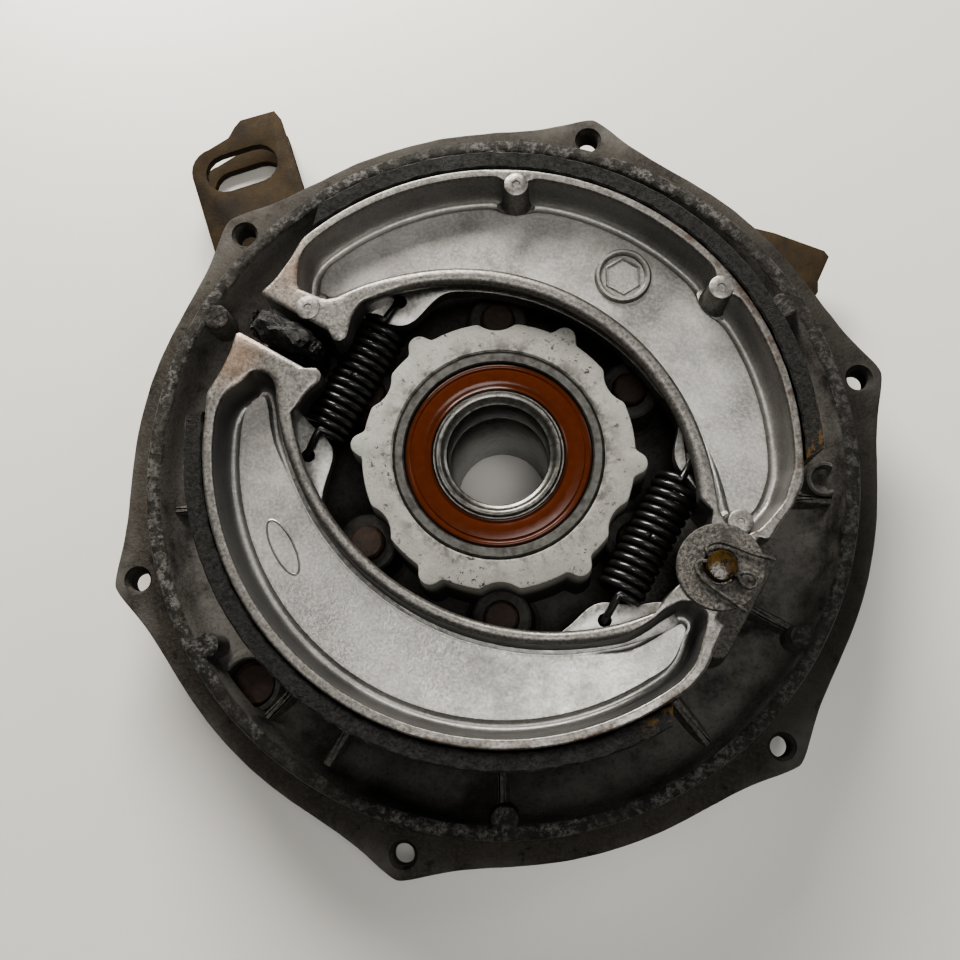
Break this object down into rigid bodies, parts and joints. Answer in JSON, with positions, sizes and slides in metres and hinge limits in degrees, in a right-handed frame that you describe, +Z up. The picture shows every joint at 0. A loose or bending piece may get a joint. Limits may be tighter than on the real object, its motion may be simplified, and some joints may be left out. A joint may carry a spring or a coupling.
{
  "type": "drum brake backing plate assembly",
  "caption": "Wheel drum brake panel lying on its back, with curved brake shoes on an anchor pin, return springs, a spreading cam with its arm, an axle bearing and a slotted steel lug.",
  "frame": {"origin": "middle of the footprint, on the plane that the assembly rests on; the axle's axis runs parallel to Z at x = 0, y = -6.24 mm", "axes": "+Z up along the axle's axis, out of the open side with the shoes; the line from the cam to the anchor pin runs 30 degrees below +X; the slotted lug reaches towards -X +Y"},
  "size_m": [0.2322, 0.2458, 0.0792],
  "materials": {
    "panel_casting": "sand cast and bead blasted at the hub, grimy brown-black in the trough",
    "shoe_casting": "die cast, satin, scuffed bright on its edges",
    "friction_lining": "matt bonded friction compound",
    "bearing_steel": "ground",
    "red_seal": "smooth brick-red rubber, lightly oiled",
    "black_rubber": "matt",
    "rusty_steel": "rusty, olive-brown",
    "black_spring_steel": "gloss black",
    "grimy_steel": "dark, speckled with grease and rust",
    "plated_steel": "dull zinc plate"
  },
  "bodies": {
    "panel": {"brake_panel": "panel_casting", "bearing_outer_ring": "bearing_steel", "bearing_front_seal": "red_seal", "bearing_rear_seal": "red_seal", "rear_oil_seal": "black_rubber", "mounting_plate": "rusty_steel", "lower_slotted_lug": "rusty_steel", "mounting_bolt_1": "rusty_steel", "mounting_bolt_2": "rusty_steel", "mounting_bolt_3": "rusty_steel", "mounting_bolt_4": "rusty_steel", "mounting_bolt_5": "rusty_steel", "mounting_bolt_6": "rusty_steel", "drain_plug": "rusty_steel", "anchor_pin": "grimy_steel", "anchor_washer": "grimy_steel", "anchor_split_pin": "grimy_steel", "camshaft_dust_seal": "black_rubber"},
    "axle_sleeve": {"bearing_inner_ring": "bearing_steel", "axle_spacer": "bearing_steel"},
    "ball_cage": {"bearing_balls_and_cage": "bearing_steel"},
    "cam": {"camshaft": "grimy_steel", "brake_arm": "rusty_steel", "arm_pinch_bolt": "plated_steel", "arm_pinch_nut": "plated_steel", "wear_pointer": "plated_steel"},
    "upper_shoe_body": {"upper_shoe": "shoe_casting", "upper_lining": "friction_lining", "cam_side_spring": "black_spring_steel"},
    "lower_shoe_body": {"lower_shoe": "shoe_casting", "lower_lining": "friction_lining", "anchor_side_spring": "black_spring_steel"}
  },
  "joints": [
    {"name": "axle_turn", "type": "hinge", "parent": "panel", "child": "axle_sleeve", "pos_m": [0, -0.00624, 0.058], "axis": [0, 0, 1], "continuous": true},
    {"name": "cage_turn", "type": "hinge", "parent": "panel", "child": "ball_cage", "pos_m": [0, -0.00624, 0.058], "axis": [0, 0, 1], "continuous": true},
    {"name": "cam_turn", "type": "hinge", "parent": "panel", "child": "cam", "pos_m": [-0.05889, 0.02776, 0.04], "axis": [0, 0, 1], "range_deg": [-40, 0], "stiffness_Nm_per_rad": 1, "springref_deg": 11.46},
    {"name": "upper_shoe_swing", "type": "hinge", "parent": "panel", "child": "upper_shoe_body", "pos_m": [0.0575, -0.03944, 0.06], "axis": [0, 0, 1], "range_deg": [-1.3, 0], "deforming": ["cam_side_spring"]},
    {"name": "lower_shoe_swing", "type": "hinge", "parent": "panel", "child": "lower_shoe_body", "pos_m": [0.0575, -0.03944, 0.06], "axis": [0, 0, 1], "range_deg": [0, 1.3], "deforming": ["anchor_side_spring"]}
  ],
  "couplings": [
    {"joint": "cage_turn", "follows": "axle_turn", "ratio": 0.395},
    {"joint": "upper_shoe_swing", "follows": "cam_turn", "ratio": 0.032},
    {"joint": "lower_shoe_swing", "follows": "cam_turn", "ratio": -0.032}
  ]
}
